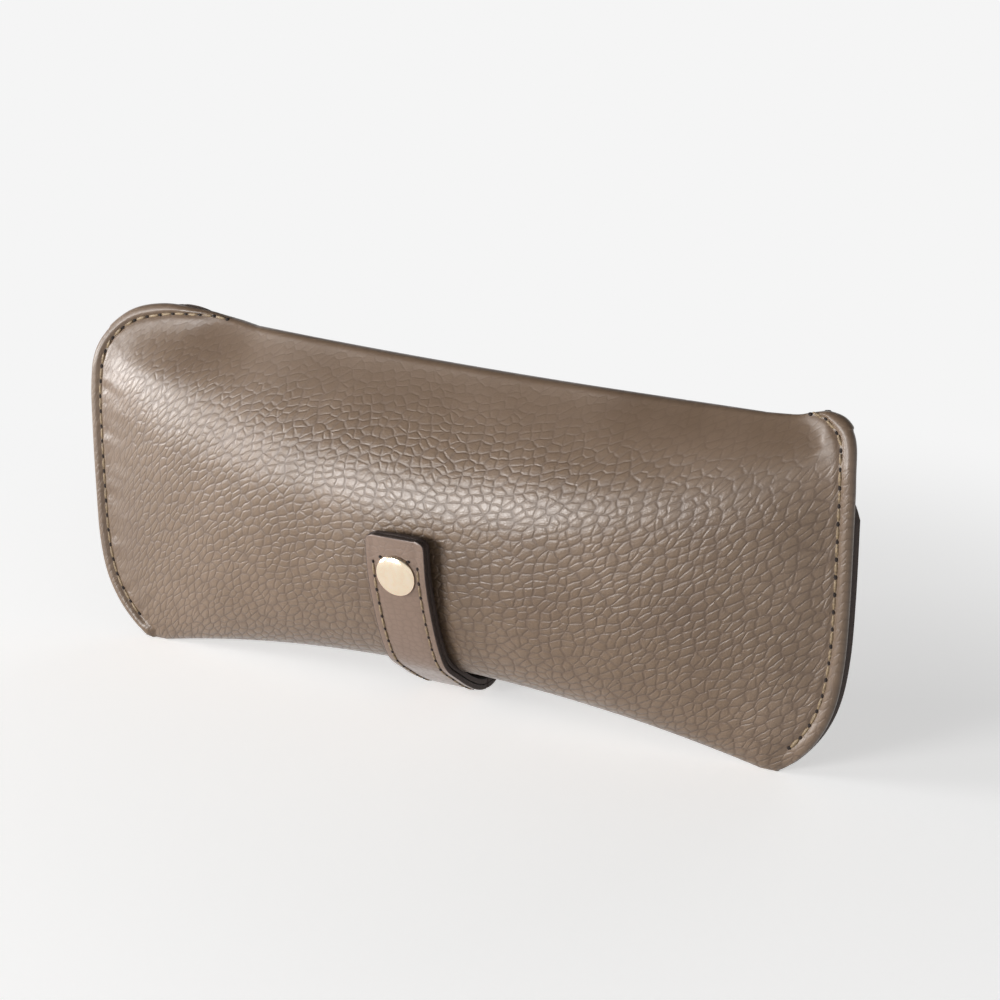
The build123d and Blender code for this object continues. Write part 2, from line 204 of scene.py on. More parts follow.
def end_distance(x, z):
    """How far a point is from the sewn ends' outline, where along it that
    is, and how fully the end is sewn there."""
    points = np.column_stack([np.ravel(x), np.ravel(z)])
    line = np.vstack([end_lines[-1], end_lines[1]])
    known = np.vstack([np.hstack([values[-1], values[1]])
                       for values in (end_runs, end_presence)])
    found = []
    for some in np.array_split(points, len(points) // 2000 + 1):
        gaps = np.hypot(*(some[:, None] - line).T)
        found.append(np.vstack([gaps.min(axis=0),
                                known[:, gaps.argmin(axis=0)]]))
    return np.hstack(found).reshape(3, *np.shape(x))


def outline_normal(x, run):
    """Which way (x, z) is out of the case at a place on its outline."""
    left, right = (
        picked(directions(line)[:, ::-1] * (side, -side), end_runs[side], run)
        for side, line in end_lines.items())
    return np.where(x[..., None] < 0, left, right)


def leaning_back(x, y, z):
    """The front's top corners are pulled back by the folded flap."""
    back = corner_lean * ease(62, 82, z) * ease(35, 60, np.abs(x))
    return y + back, z - corner_drop * back


def half_depth(x, bulge):
    share = np.minimum(np.abs(x) / sewn_x, 1)
    return (sewn_half_depth
            + (bulge - sewn_half_depth) * (1 - share ** 2.2) ** 0.9)


def front_profile(x, level, low, high):
    """The front's side view: round below, a leaning flat face above."""
    fullest = shoulder_middle + shoulder_rise * (x / 75) ** 2
    fullest = np.clip((2 * fullest - low - high) / (high - low), -0.5, 0.7)
    below = np.clip((fullest - level) / (1 + fullest), 0, 1)
    above = np.clip((level - fullest) / (1 - fullest), 0, 1)
    leaning = np.where(above < 0.5, 1 - top_slope * above ** 2,
                       1 + top_slope * (0.25 - above))
    return np.where(level < fullest, np.sqrt(1 - below ** 2),
                    leaning * np.sqrt(1 - above ** 6))


def wall_depth(x, z, wall):
    """How far a wall's outer face stands off the seam plane."""
    way, bulge, flange_depth = wall
    gap, run, presence = end_distance(x, z)
    inset = seam_inset(np.sign(x), run)
    low, high = lower(x), upper(x)
    level = np.clip((2 * z - low - high) / (high - low), -1, 1)
    profile = (front_profile(x, level, low, high) if way < 0
               else np.sqrt(1 - level ** 2))
    pillow = half_depth(x, bulge) * profile
    start = np.where(presence > 0, inset - 0.5, -6)
    # it swells steeply beside the ends and slowly under their tops
    swell_reach = 2.2 + 4.6 * ease(56, 74, z)
    swell = 1 - np.exp(-np.maximum(gap - start, 0) / swell_reach)
    swell = presence * swell + (1 - presence)
    # the thread pulls small puckers into the leather beside it
    pucker = sum(size * np.sin(2 * pi * run / pitch + phase + gap * slant)
                 for size, pitch, phase, slant in pucker_waves)
    pucker *= 1 - 0.85 * ease(56, 68, z)
    pucker *= (presence * ease(2.6, 4.5, gap)
               * (0.35 + 0.65 * np.exp(-np.maximum(gap - 4, 0) / 5))
               * (1 - ease(9, 18, gap)))
    band = 0.86 + 0.24 * np.sin(pi * np.clip(gap / inset, 0, 1))
    flange = flange_depth * presence * band
    more = pillow - flange
    more = (more + np.sqrt(more ** 2 + 0.3 * presence)) / 2
    depth = flange + more * swell + pucker
    groove = np.exp(-((gap - inset) / groove_width) ** 2)
    depth -= groove_depth * groove * presence * ease(2, 5, run)
    # elsewhere it is soft enough to be a little uneven
    wave = (np.sin(x / 17.3 + 0.6) * np.sin(z / 11.9 + 1.1)
            + 0.6 * np.sin(x / 7.9 + z / 13.1)
            + 0.4 * np.sin(x / 5.3 - z / 6.7 + 2.0))
    calm = 1 - np.exp(-(x / 13) ** 2)
    depth += (unevenness * wave * calm * ease(6, 16, gap)
              * np.sqrt(1 - level ** 2))
    return depth


def wall_patch(columns, share, inset_at_ends):
    """Points (x, z) of a wall between its fold, its ends and its crest."""
    sides, tops = [], []
    for side, corner in ((-1, left_corner), (1, right_corner)):
        inset = inset_at_ends * end_presence[side] * ease(
            0, 4, end_runs[side])
        line = moved_in(end_lines[side], side, inset)
        split = np.hypot(*(line - corner).T).argmin()
        sides.append(line[:split + 1])
        tops.append(line[split:])
    top = np.vstack([tops[0], crest_points, tops[1][::-1]])
    across = (columns + 1) / 2
    bottom = with_height(columns * end_lines[1][0, 0], fold_line)
    top = with_height(top[0, 0] + (top[-1, 0] - top[0, 0]) * across,
                      lambda x: np.interp(x, *top.T))
    ends = [picked(line, run_along(line) / run_along(line)[-1], share)
            for line in sides]
    w, s = share[..., None], across[..., None]
    return ((1 - w) * bottom + w * top + (1 - s) * ends[0] + s * ends[1]
            - (1 - w) * ((1 - s) * sides[0][0] + s * sides[1][0])
            - w * ((1 - s) * sides[0][-1] + s * sides[1][-1]))


def mouth_height(x):
    past = np.clip((np.abs(x) - mouth_half) / mouth_corner, 0, 1)
    return (mouth_middle + mouth_rise * np.minimum(1, np.abs(x)
                                                   / mouth_half) ** 2
            - mouth_corner_drop * (1 - np.sqrt(1 - past ** 2)))


def flap_face(x, turn, lift_start, lift):
    """The face behind the crest, lifting off the back wall as it goes."""
    low, high = lower(x), upper(x)
    raised = lift * ease(0, 1, (turn - lift_start) / radians(36))
    depth = (half_depth(x, back_bulge) + raised) * np.sin(turn)
    height = (low + high) / 2 + ((high - low) / 2 + raised) * np.cos(turn)
    return np.stack([x, seam_y + depth, height], axis=-1)


def crest_turn(x, depth):
    return np.arcsin(np.minimum(depth / half_depth(x, back_bulge), 1))


def rounded_crest(face, crest_row, share):
    """The fold over the crest, rounded where the ends aren't sewn."""
    run = run_along(face)
    run -= run[crest_row]
    rounded = face.copy()
    for c in range(face.shape[1]):
        reach = min(crest_rounding, 0.95 * run[-1, c])
        t = (run[:, c] + reach) / (2 * reach)
        near = (t > 0) & (t < 1)
        t = t[near, None]
        first, last = picked(face[:, c], run[:, c], [-reach, reach])
        arc = ((1 - t) ** 2 * first + 2 * t * (1 - t) * face[crest_row, c]
               + t ** 2 * last)
        rounded[near, c] += share[c] * (arc - face[near, c])
    return rounded


wall_spread = closer_at_ends(wall_columns, 0.7)


def wall_face(turn, wall, inset):
    """A wall's outer face. Its turn is 0 at the fold, pi at the crest."""
    place = wall_patch(np.broadcast_to(wall_spread, turn.shape),
                       (1 - np.cos(turn)) / 2, inset)
    depth = wall_depth(place[..., 0], place[..., 1], wall)
    return np.stack([place[..., 0], seam_y + wall[0] * depth,
                     place[..., 1]], axis=-1)


# the back wall, from the mouth down to the fold; 72 mm is about its height
mouth_share = np.full(wall_columns, 0.75)
for _ in range(25):
    place = wall_patch(wall_spread, mouth_share, raw_edge_inset)
    short = mouth_height(place[:, 0]) - place[:, 1]
    mouth_share = np.clip(mouth_share + short / 72, 0.3, 0.97)
down = np.linspace(1, 0, back_rows, endpoint=False)[:, None]
back = wall_face(np.arccos(1 - 2 * mouth_share) * down, back_wall,
                 raw_edge_inset)
back[..., 2] = leaning_back(*np.moveaxis(back, -1, 0))[1]

# the front wall, from the fold up to the crest
front = wall_face(np.linspace(0, pi, front_rows)[:, None]
                  * np.ones(wall_columns), front_wall, roll_radius)

# over the crest, to where the flap starts
x, y, z = front[-1].T
depth = seam_y - y
reach = (hinge_depth - bare_turnover) * ease(
    -flap_half_width - 2.5, -flap_half_width, -np.abs(x)) + bare_turnover
_, run, presence = end_distance(x, z)
out = outline_normal(x, run)
rows = []
for step in np.linspace(0, 1, crest_rows)[1:]:
    drop = (1 - np.cos(crest_turn(x, reach * step))) * (z - lower(x)) / 2
    over = np.stack([x, seam_y - depth * (1 - step) + reach * step,
                     z - drop], axis=-1)
    rise = roll_radius * sin(pi * step)
    turned = np.stack([
        x + out[:, 0] * rise, seam_y - (depth + 0.1) / 2
        - (depth - 0.1) / 2 * cos(pi * step),
        z + out[:, 1] * rise], axis=-1)
    rows.append(over + presence[:, None] * (turned - over))
front = rounded_crest(np.concatenate([front, np.array(rows)]),
                      front_rows - 1, 1 - presence)
front[..., 1], front[..., 2] = leaning_back(*np.moveaxis(front, -1, 0))
pocket_face = np.concatenate([back, front])


def cloth_normals(face):
    normal = np.cross(np.gradient(face, axis=1), np.gradient(face, axis=0))
    length = np.linalg.norm(normal, axis=-1, keepdims=True)
    return normal / np.maximum(length, 1e-9)


def rim_loop(rows, columns):
    return ([(0, c) for c in range(columns)]
            + [(r, columns - 1) for r in range(1, rows)]
            + [(rows - 1, c) for c in range(columns - 2, -1, -1)]
            + [(r, 0) for r in range(rows - 2, 0, -1)])


def hide_places(face, calm=0.0):
    """Where each point of a grid lies on the flat hide, in mm, and how smooth
    the grain is there, from 0 to 1; where it is smooth the leather's colour is
    also painted darker, as painted shade."""
    run = run_along(face)
    run -= run[len(run) // 3]
    calm = np.broadcast_to(calm, run.shape)
    return np.stack([face[..., 0], run, calm], axis=-1)


def closed_sheet(face, thickness, bulge, power, rings=rim_rings,
                 normal=None, side_outward=None):
    """A sheet of leather or cloth: outer face, inner face and a rim.
    Returns points, quads and each quad's kind: 0 outer, 1 inner, 2 rim."""
    rows, columns = face.shape[:2]
    normal = cloth_normals(face) if normal is None else normal
    thickness, bulge, power = (np.broadcast_to(value, (rows, columns))
                               for value in (thickness, bulge, power))
    inner = face - normal * thickness[..., None]
    points = [face.reshape(-1, 3), inner.reshape(-1, 3)]
    count = rows * columns
    number = np.arange(count).reshape(rows, columns)
    outer_quads = np.stack([number[:-1, :-1], number[:-1, 1:], number[1:, 1:],
                            number[1:, :-1]], axis=-1).reshape(-1, 4)
    quads = [outer_quads, outer_quads[:, ::-1] + count]
    # which way is out of the sheet at each place of its rim
    r, c = np.array(rim_loop(rows, columns)).T
    across = (c == columns - 1).astype(float) - (c == 0)
    down = (r == rows - 1).astype(float) - (r == 0)
    outward = (across[:, None] * np.gradient(face, axis=1)[r, c]
               + down[:, None] * np.gradient(face, axis=0)[r, c])
    if side_outward is not None:
        known = np.abs(side_outward[r, c]).sum(axis=1) > 0
        outward[known] = side_outward[r, c][known]
    outward -= normal[r, c] * (outward * normal[r, c]).sum(1)[:, None]
    outward /= np.maximum(np.linalg.norm(outward, axis=1), 1e-9)[:, None]
    middle = (face[r, c] + inner[r, c]) / 2
    half = (face[r, c] - inner[r, c]) / 2
    ring_numbers = [number[r, c]]
    for k in range(1, rings):
        angle = pi * k / rings
        lean = np.sign(cos(angle)) * abs(cos(angle)) ** power[r, c]
        reach = sin(angle) ** power[r, c] * bulge[r, c]
        points.append(middle + half * lean[:, None]
                      + outward * reach[:, None])
        ring_numbers.append(2 * count + (k - 1) * len(r) + np.arange(len(r)))
    ring_numbers.append(number[r, c] + count)
    for near, far in zip(ring_numbers, ring_numbers[1:]):
        quads.append(np.stack([near, far, np.roll(far, -1),
                               np.roll(near, -1)], axis=-1))
    kinds = np.repeat([0, 1, 2], [len(outer_quads), len(outer_quads),
                                  rings * len(r)])
    return np.vstack(points), np.vstack(quads), kinds


def new_object(name, data):
    made = bpy.data.objects.new(name, data)
    bpy.context.scene.collection.objects.link(made)
    return made


def new_piece(name, points, faces, materials, kinds=None, places=None):
    """A smooth-shaded mesh object from points in millimetres. The places
    are those of a sheet's outer face, for the grain to follow."""
    mesh = bpy.data.meshes.new(name)
    mesh.from_pydata((np.asarray(points) * MM).tolist(), [],
                     [list(map(int, face)) for face in faces])
    for material in materials:
        mesh.materials.append(material)
    mesh.polygons.foreach_set("use_smooth", [True] * len(mesh.polygons))
    if kinds is not None:
        mesh.polygons.foreach_set("material_index", list(map(int, kinds)))
    if places is not None:
        rim = [places[r, c] for r, c in rim_loop(*places.shape[:2])]
        flat = places.reshape(-1, 3)
        rings = (len(points) - 2 * len(flat)) // len(rim)
        flat = np.vstack([flat, flat] + [rim] * rings) * (MM, MM, 1)
        attribute = mesh.attributes.new("hide", "FLOAT_VECTOR", "POINT")
        attribute.data.foreach_set("vector", flat.ravel())
    mesh.update()
    return new_object(name, mesh)


def hex_colour(code):
    """An sRGB hex colour as the linear numbers that a shader takes."""
    parts = [int(code[k:k + 2], 16) / 255 for k in (1, 3, 5)]
    return tuple(p / 12.92 if p <= 0.04045 else ((p + 0.055) / 1.055) ** 2.4
                 for p in parts) + (1.0,)


def add_node(tree, kind, links=(), stops=(), **settings):
    """Adds a node. A link is (its input, a value, or the output socket or
    node that feeds it). Stops are a colour ramp's, its two ends first."""
    made = tree.nodes.new(kind)
    for name, value in settings.items():
        setattr(made, name, value)
    for name, value in links:
        if isinstance(value, bpy.types.Node):
            value = value.outputs[0]
        if isinstance(value, bpy.types.NodeSocket):
            tree.links.new(value, made.inputs[name])
        else:
            made.inputs[name].default_value = value
    for index, (place, code) in enumerate(stops):
        elements = made.color_ramp.elements
        stop = elements[index] if index < 2 else elements.new(place)
        stop.position, stop.color = place, hex_colour(code)
    return made


def new_material(name):
    """A new material, and add_node for its node tree."""
    material = bpy.data.materials.new(name)
    material.use_nodes = True
    material.node_tree.nodes.clear()
    return material, partial(add_node, material.node_tree)


def tumbled_leather(name, dark, body, light, crease_shade, grain_mm, depth_mm,
                    flow=0.0):
    """Drum-tumbled cowhide: the tanning drum leaves rounded pebbles parted
    by fine creases, a soft waxy sheen and slightly uneven dye."""
    material, node = new_material(name)
    place = node("ShaderNodeTexCoord").outputs["Object"]
    hide = node("ShaderNodeAttribute",
                attribute_name="hide").outputs["Vector"]
    parts = node("ShaderNodeSeparateXYZ", [(0, hide)]).outputs
    # towards the sewn ends the pebbles are drawn out along a slant
    off_middle = node("ShaderNodeMath", [
        (0, parts["X"])], operation="ABSOLUTE")
    slant = node("ShaderNodeMath", [
        (0, parts["X"]), (1, off_middle)], operation="MULTIPLY")
    drawn = node("ShaderNodeMath", [
        (0, slant), (1, -flow / 0.075), (2, parts["Y"])],
        operation="MULTIPLY_ADD")
    flat = node("ShaderNodeCombineXYZ", [("X", parts["X"]), ("Y", drawn)])
    # no two pebbles are alike: their places shift by up to 0.8 mm, in
    # waves of 4 mm
    warp = node("ShaderNodeTexNoise", [
        ("Vector", flat), ("Scale", 0.26 / MM), ("Detail", 2.0)])
    shift = node("ShaderNodeVectorMath", [
        (0, warp.outputs["Color"]), (1, (0.5, 0.5, 0.5))],
        operation="SUBTRACT")
    warped = node("ShaderNodeVectorMath", [
        (0, shift), (1, (0.0016, 0.0016, 0.0016)), (2, flat)],
        operation="MULTIPLY_ADD")
    warped = node("ShaderNodeMapping", [
        ("Vector", warped), ("Scale", (0.86, 1.16, 1))])
    # a dome to each pebble, and small ones on it at 0.4 of its size
    heights = []
    for cell_mm, width in ((grain_mm, 0.19), (grain_mm * 0.4, 0.25)):
        cells = [("Vector", warped), ("Scale", 1 / (cell_mm * MM)),
                 ("Randomness", 0.8)]
        mounds = node("ShaderNodeTexVoronoi",
                      cells + [("Smoothness", 0.12)],
                      feature="SMOOTH_F1", voronoi_dimensions="2D")
        edges = node("ShaderNodeTexVoronoi", cells,
                     feature="DISTANCE_TO_EDGE", voronoi_dimensions="2D")
        dome = node("ShaderNodeMapRange", [
            ("Value", mounds), ("From Min", 0.1), ("From Max", 0.7),
            ("To Min", 0.5), ("To Max", 0.0)],
            interpolation_type="SMOOTHSTEP")
        shoulder = node("ShaderNodeMapRange", [
            ("Value", edges), ("From Max", width), ("To Max", 0.5)],
            interpolation_type="SMOOTHSTEP")
        raised = node("ShaderNodeMath", [
            (0, dome), (1, shoulder)], operation="ADD")
        # where the hide's third number is high the pebbles flatten, and the
        # colour below takes a fixed share of the crease colour: painted shade
        heights.append(node("ShaderNodeMix", [
            ("Factor", parts["Z"]), (2, raised), (3, 0.38)],
            data_type="FLOAT"))
    # pores, 0.4 mm apart
    pores = node("ShaderNodeTexNoise", [
        ("Vector", place), ("Scale", 2.6 / MM), ("Detail", 2.0)])
    relief = heights[0]
    for layer, amount in ((heights[1], 0.16), (pores, 0.1)):
        relief = node("ShaderNodeMath", [
            (0, layer), (1, amount), (2, relief)], operation="MULTIPLY_ADD")
    # the dye takes in patches of 24 mm; the creases get a darker colour, which
    # is painted shade
    patches = node("ShaderNodeTexNoise", [
        ("Vector", place), ("Scale", 0.042 / MM), ("Detail", 3.0)])
    dye = node("ShaderNodeValToRGB", [
        ("Fac", patches)], stops=((0.3, dark), (0.72, light), (0.5, body)))
    out_of_crease_shade = node("ShaderNodeMath", [
        (0, heights[0]), (1, 0.6), (2, 0.45)], operation="MULTIPLY_ADD")
    tint = node("ShaderNodeMix", [
        ("Factor", out_of_crease_shade), (6, hex_colour(crease_shade)), (7, dye)],
        data_type="RGBA").outputs[2]
    rough = node("ShaderNodeMapRange", [
        ("Value", relief), ("From Max", 1.2), ("To Min", 0.52),
        ("To Max", 0.32)])
    bump = node("ShaderNodeBump", [
        ("Height", relief), ("Distance", depth_mm * MM), ("Strength", 0.9)])
    # the coat is the waxed finish; the sheen is the fibres of the hide,
    # pale where it is seen edge on
    shader = node("ShaderNodeBsdfPrincipled", [
        ("Base Color", tint), ("Roughness", rough), ("Normal", bump),
        ("IOR", 1.5), ("Coat Weight", 0.3), ("Coat Roughness", 0.36),
        ("Sheen Weight", 0.22), ("Sheen Roughness", 0.35),
        ("Sheen Tint", hex_colour("#E4E6EA"))])
    node("ShaderNodeOutputMaterial", [("Surface", shader)])
    return material


def fine_finish(name, dark, light, marks_mm, bump_mm, roughness, more=()):
    """A cloth, paint, foam or metal whose only marks are fine and even.
    Its roughness is one number, or the least and the most of it."""
    material, node = new_material(name)
    place = node("ShaderNodeTexCoord").outputs["Object"]
    marks = node("ShaderNodeTexNoise", [
        ("Vector", place), ("Scale", 1 / (marks_mm * MM)), ("Detail", 3.0)])
    tint = node("ShaderNodeValToRGB", [
        ("Fac", marks)], stops=((0.3, dark), (0.7, light)))
    bump = node("ShaderNodeBump", [
        ("Height", marks), ("Distance", bump_mm * MM)])
    if isinstance(roughness, tuple):
        roughness = node("ShaderNodeMapRange", [
            ("Value", marks), ("To Min", roughness[0]),
            ("To Max", roughness[1])])
    shader = node("ShaderNodeBsdfPrincipled", [
        ("Base Color", tint), ("Roughness", roughness), ("Normal", bump),
        *more])
    node("ShaderNodeOutputMaterial", [("Surface", shader)])
    return material


# the pebbles are about 2 mm across, drawn out a little towards the ends
# its fourth colour is painted shade for the creases
taupe_leather = tumbled_leather(
    "taupe_leather_drum_tumbled", "#675341", "#6F5B48", "#796553",
    "#4E3C30", 2.1, 0.15, flow=0.42)
# brushed on thick over cut fibres, so dark, uneven and nearly matt
edge_paint = fine_finish(
    "edge_paint_dark_brown", "#2E2320", "#43352F", 0.6, 0.05, 0.72)
# the inside of the hide is left as it was split: short nap, no gloss
flesh_side = fine_finish(
    "leather_flesh_side_brown", "#3A2F29", "#4A3D35", 0.5, 0.06, 0.85)

wall_gap, wall_run, wall_presence = end_distance(
    pocket_face[..., 0], pocket_face[..., 2])
near_edge = wall_presence * (1 - ease(3, 5.5, wall_gap))
extra = np.where(np.arange(len(pocket_face))[:, None] < back_rows,
                 raw_flange_thickness, rolled_thickness) - leather_thickness
wall_thickness = leather_thickness + extra * near_edge
over_crest, up_to_crest = slice(1 - crest_rows, None), slice(1 - crest_rows)
wall_thickness[over_crest] -= (leather_thickness - skived_thickness
                               + extra[-1]) * near_edge[-1]
bulge = roll_radius * np.maximum(wall_presence, 0.5)
power = np.ones(bulge.shape)
bulge[:back_rows], power[:back_rows] = raw_edge_inset, 0.4
bulge[-1] = bulge[over_crest, [0, -1]] = 0.5
outward = np.zeros(pocket_face.shape)
for column in (0, -1):
    out = outline_normal(pocket_face[up_to_crest, column, 0],
                         wall_run[up_to_crest, column])
    outward[up_to_crest, column, 0::2] = out
pocket_normal = cloth_normals(pocket_face)
pocket_normal[-crest_rows, [0, -1]] = pocket_normal[-crest_rows - 1, [0, -1]]
points, quads, kinds = closed_sheet(pocket_face, wall_thickness, bulge,
                                    power, normal=pocket_normal,
                                    side_outward=outward)
points[:, 2] = np.maximum(points[:, 2], floor_gap)
# the back wall's rim is painted, the front's is the leather turned in
rim_rows = np.array(rim_loop(*pocket_face.shape[:2]))[:, 0]
kinds[kinds == 2] = np.tile(np.where(rim_rows < back_rows, 2, 0), rim_rings)
# the grain is finer near the crest, beside the left seam and near the sewn
# ends, and the colour there is painted darker: painted shade, for the top face
# under the crest
calm = 0.8 * ease(22, 3, upper(pocket_face[..., 0]) - pocket_face[..., 2])
calm = np.maximum(calm, 0.55 * ease(-72, -84, pocket_face[..., 0]))
calm = np.maximum(calm, 0.5 * near_edge)
pocket_skin = new_piece("case_pocket_leather", points, quads,
                        [taupe_leather, flesh_side, edge_paint], kinds,
                        hide_places(pocket_face, calm))
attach(pocket_skin, "pocket")
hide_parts("pocket_leather")

# ---------------------------------------------------------------------------
# Pocket lining and padding. Black microsuede glued inside the pocket, over
# two thin sheets of foam that stop short of the sewn ends and the folds.

padding_thickness, glue_gap, lining_thickness = 0.6, 0.25, 0.6
padded_half_length = 68.0

# a dense short nap, so black without gloss and a little pale edge on
microsuede = fine_finish(
    "microsuede_black", "#171513", "#26221F", 0.35, 0.05, 0.9,
    [("Sheen Weight", 0.3)])
# cut foam: open cells, no gloss
foam = fine_finish(
    "padding_foam_grey", "#85807A", "#98938C", 0.4, 0.08, 0.95)

wall_normal = cloth_normals(pocket_face)
padded_share = (ease(0, 12, padded_half_length + 6
                     - np.abs(pocket_face[..., 0]))
                * ease(4, 14, wall_gap))
lining_back = leather_thickness + glue_gap + 0.45 * padded_share
lining_face = pocket_face - wall_normal * lining_back[..., None]


def at_rows(values, rows, columns):
    """A grid's values in some columns, at places between its rows."""
    row = np.minimum(np.asarray(rows).astype(int), len(values) - 2)
    share = (rows - row)[..., None]
    return (values[row, columns] * (1 - share)
            + values[row + 1, columns] * share)


# it ends at the flap's hinge, and 14 rows lower where there is no flap
under_fin = wall_presence[-1] + ease(47, 51, np.abs(pocket_face[-1, :, 0]))
last_row = len(pocket_face) - 1.5 - 14 * np.minimum(under_fin, 1)
rows = 2 + (last_row - 2) * np.linspace(0, 1, 78)[:, None]
lining_face = at_rows(lining_face, rows, np.arange(wall_columns))
points, quads, kinds = closed_sheet(lining_face[:, 10:-10:2],
                                    lining_thickness, 0.1, 0.5, rings=3)
lining = new_piece("case_pocket_lining", points, quads, [microsuede])
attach(lining, "pocket")
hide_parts("pocket_lining")

pad_columns = np.where(np.abs(pocket_face[back_rows + 40, :, 0])
                       < padded_half_length)[0][::2]
for name, node_name, rows in (
        ("case_front_padding", "front_padding",
         range(back_rows + 12, back_rows + 86, 2)),
        ("case_back_padding", "back_padding", range(5, back_rows - 6, 2))):
    face = pocket_face - wall_normal * (leather_thickness + 0.02)
    face = face[np.ix_(rows, pad_columns)]
    r = np.linspace(-1, 1, face.shape[0])[:, None]
    c = np.linspace(-1, 1, face.shape[1])[None, :]
    taper = ease(0, 0.2, 1 - np.abs(r)) * ease(0, 0.15, 1 - np.abs(c))
    points, quads, kinds = closed_sheet(
        face, 0.12 + (padding_thickness - 0.14) * taper, 0.2, 0.8, rings=3)
    pad = new_piece(name, points, quads, [foam])
    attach(pad, "pocket")
    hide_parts(node_name)

# ---------------------------------------------------------------------------
# Flap. The same leather, sewn on behind the crest and falling down the back
# over the mouth; its lower corners are widely rounded and its edge painted.

flap_lift = 2.95
flap_edge_low, flap_straight, flap_corner = 20.0, 24.0, 29.1
flap_side_height = 48.0
flap_columns, flap_rows = 121, 72


def flap_turn(x, z):
    """How far round the case the flap has come at a height."""
    low, high = lower(x), upper(x)
    level = (z - (low + high) / 2) / ((high - low) / 2 + flap_lift)
    return np.arccos(np.clip(level, -1, 1))


def flap_start(x):
    return crest_turn(x, hinge_depth + 0.02)


x = closer_at_ends(flap_columns, 0.78) * flap_half_width
share = np.clip((np.abs(x) - flap_straight) / flap_corner, 0, 1)
flap_edge = flap_edge_low + flap_side_height * (1 - np.sqrt(1 - share ** 2))
down = np.linspace(0, 1, flap_rows)[:, None]
turn = flap_start(x) + (flap_turn(x, flap_edge) - flap_start(x)) * down
flap_outside = flap_face(np.broadcast_to(x, turn.shape), turn,
                         flap_start(x), flap_lift)
flap_bulge = np.full(turn.shape, 0.25)
flap_bulge[0] = 0.0
points, quads, kinds = closed_sheet(flap_outside, leather_thickness,
                                    flap_bulge, 0.4)
# its rim is painted, but not where it joins the pocket's leather
rim_kinds = kinds[kinds == 2].reshape(rim_rings, -1)
rim_kinds[:, :flap_columns] = 0
kinds[kinds == 2] = rim_kinds.ravel()
flap_skin = new_piece("case_flap_leather", points, quads,
                      [taupe_leather, flesh_side, edge_paint], kinds,
                      hide_places(flap_outside))
face = (flap_outside - cloth_normals(flap_outside)
        * (leather_thickness + 0.05))[1:-2:2, 3:-3:2]
points, quads, kinds = closed_sheet(face, lining_thickness, 0.1, 0.5,
                                    rings=3)
flap_lining = new_piece("case_flap_lining", points, quads, [microsuede])
for piece, node_name, slot_name in (
        (flap_skin, "flap_leather", "taupe_leather"),
        (flap_lining, "flap_lining", "black_lining")):
    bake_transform(piece)
    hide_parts(node_name)

# ---------------------------------------------------------------------------
# Strap. Two layers of leather glued back to back, 13.5 mm wide, sewn to the
# flap, passing under the case and up the front; its edges are painted dark.

strap_half_width, strap_layer, strap_thickness = 6.75, 1.1, 2.25
strap_end_radius = 1.6
strap_seam_inset = 1.7
strap_joint_y = 6.5             # where the two modelled lengths meet
strap_row_spacing, strap_columns = 0.45, 23
tip_bend = (0, 0.0062, 0.001), (0, -0.0018, 0.001)
base_bend = (0, 0.0155, 0.001), (0, 0.007, 0.001)


def outside_oval(height, distance, bulge, side):
    """A point (y, z) outside the case's middle section."""
    centre, half = (74 + fold_height) / 2, (74 - fold_height) / 2
    depth = bulge * (1 - ((height - centre) / half) ** 2) ** 0.5
    lean = np.array([depth / bulge ** 2, (height - centre) / half ** 2])
    lean /= np.linalg.norm(lean)
    return (seam_y + side * (depth + distance * lean[0]),
            height + distance * lean[1])


strap_front = [outside_oval(height, strap_thickness + gap, front_bulge, -1)
               for height, gap in ((41.5, 2.05), (33.5, 1.55), (26, 0.9),
                                   (18.5, 0.6), (13, 0.45))]
strap_back = [outside_oval(height, flap_lift + 0.05 + strap_thickness,
                           back_bulge, 1) for height in (21.5, 28, 36)]
loop_depth = strap_back[0][0] - seam_y
strap_under = [(seam_y + share * loop_depth, height) for share, height in (
    (0, 4.0), (0.23, 1.9), (0.44, 1.1), (0.65, 1.5), (0.82, 3.9),
    (0.93, 8.5), (0.97, 14))]
strap_knots = (strap_front + [(seam_y - 4.6, 7.2)] + strap_under
               + strap_back)
strap_length = run_along(smooth_line(strap_knots, 400))[-1]
strap_line = smooth_line(strap_knots, int(strap_length / strap_row_spacing))
strap_line[:, 1] = np.maximum(strap_line[:, 1], floor_gap)

run = run_along(strap_line)
short = np.clip(strap_end_radius - run, 0, strap_end_radius)
half = (strap_half_width - strap_end_radius
        + np.sqrt(strap_end_radius ** 2 - short ** 2))
x = half[:, None] * closer_at_ends(strap_columns, 0.85)[::-1]
y, z = (np.broadcast_to(strap_line[:, k, None], x.shape) for k in (0, 1))
whole_strap = np.stack([x, y, z], axis=-1)
strap_normal = cloth_normals(whole_strap)

# it is a little fuller between its seams and drawn in under the thread
crown = 0.16 * (1 - (x / strap_half_width) ** 2)
stitch_off = np.abs(np.abs(x) - (strap_half_width - strap_seam_inset))
crown -= 0.14 * np.exp(-(stitch_off / 0.5) ** 2) - 0.1
strap_face = whole_strap - strap_normal * (0.1 - crown)[..., None]
strap_inside = whole_strap - strap_normal * (strap_layer + 0.15)
# the route passes the joint only on its way under the case
low_rows = np.where(strap_line[:, 1] < 6)[0]
joint_row = low_rows[np.abs(strap_line[low_rows, 0]
                            - strap_joint_y).argmin()]

# finer and flatter than the pocket's leather, and a shade greyer
# its fourth colour is painted shade for the creases
strap_leather = tumbled_leather(
    "strap_leather_fine_grain", "#745E50", "#7A6557", "#826D5F",
    "#6D594B", 1.5, 0.03)
# the layer behind is pressed smooth and dyed nearly black
strap_back_leather = fine_finish(
    "strap_backing_smooth_dark", "#241D1A", "#332A26", 0.7, 0.04, 0.6)

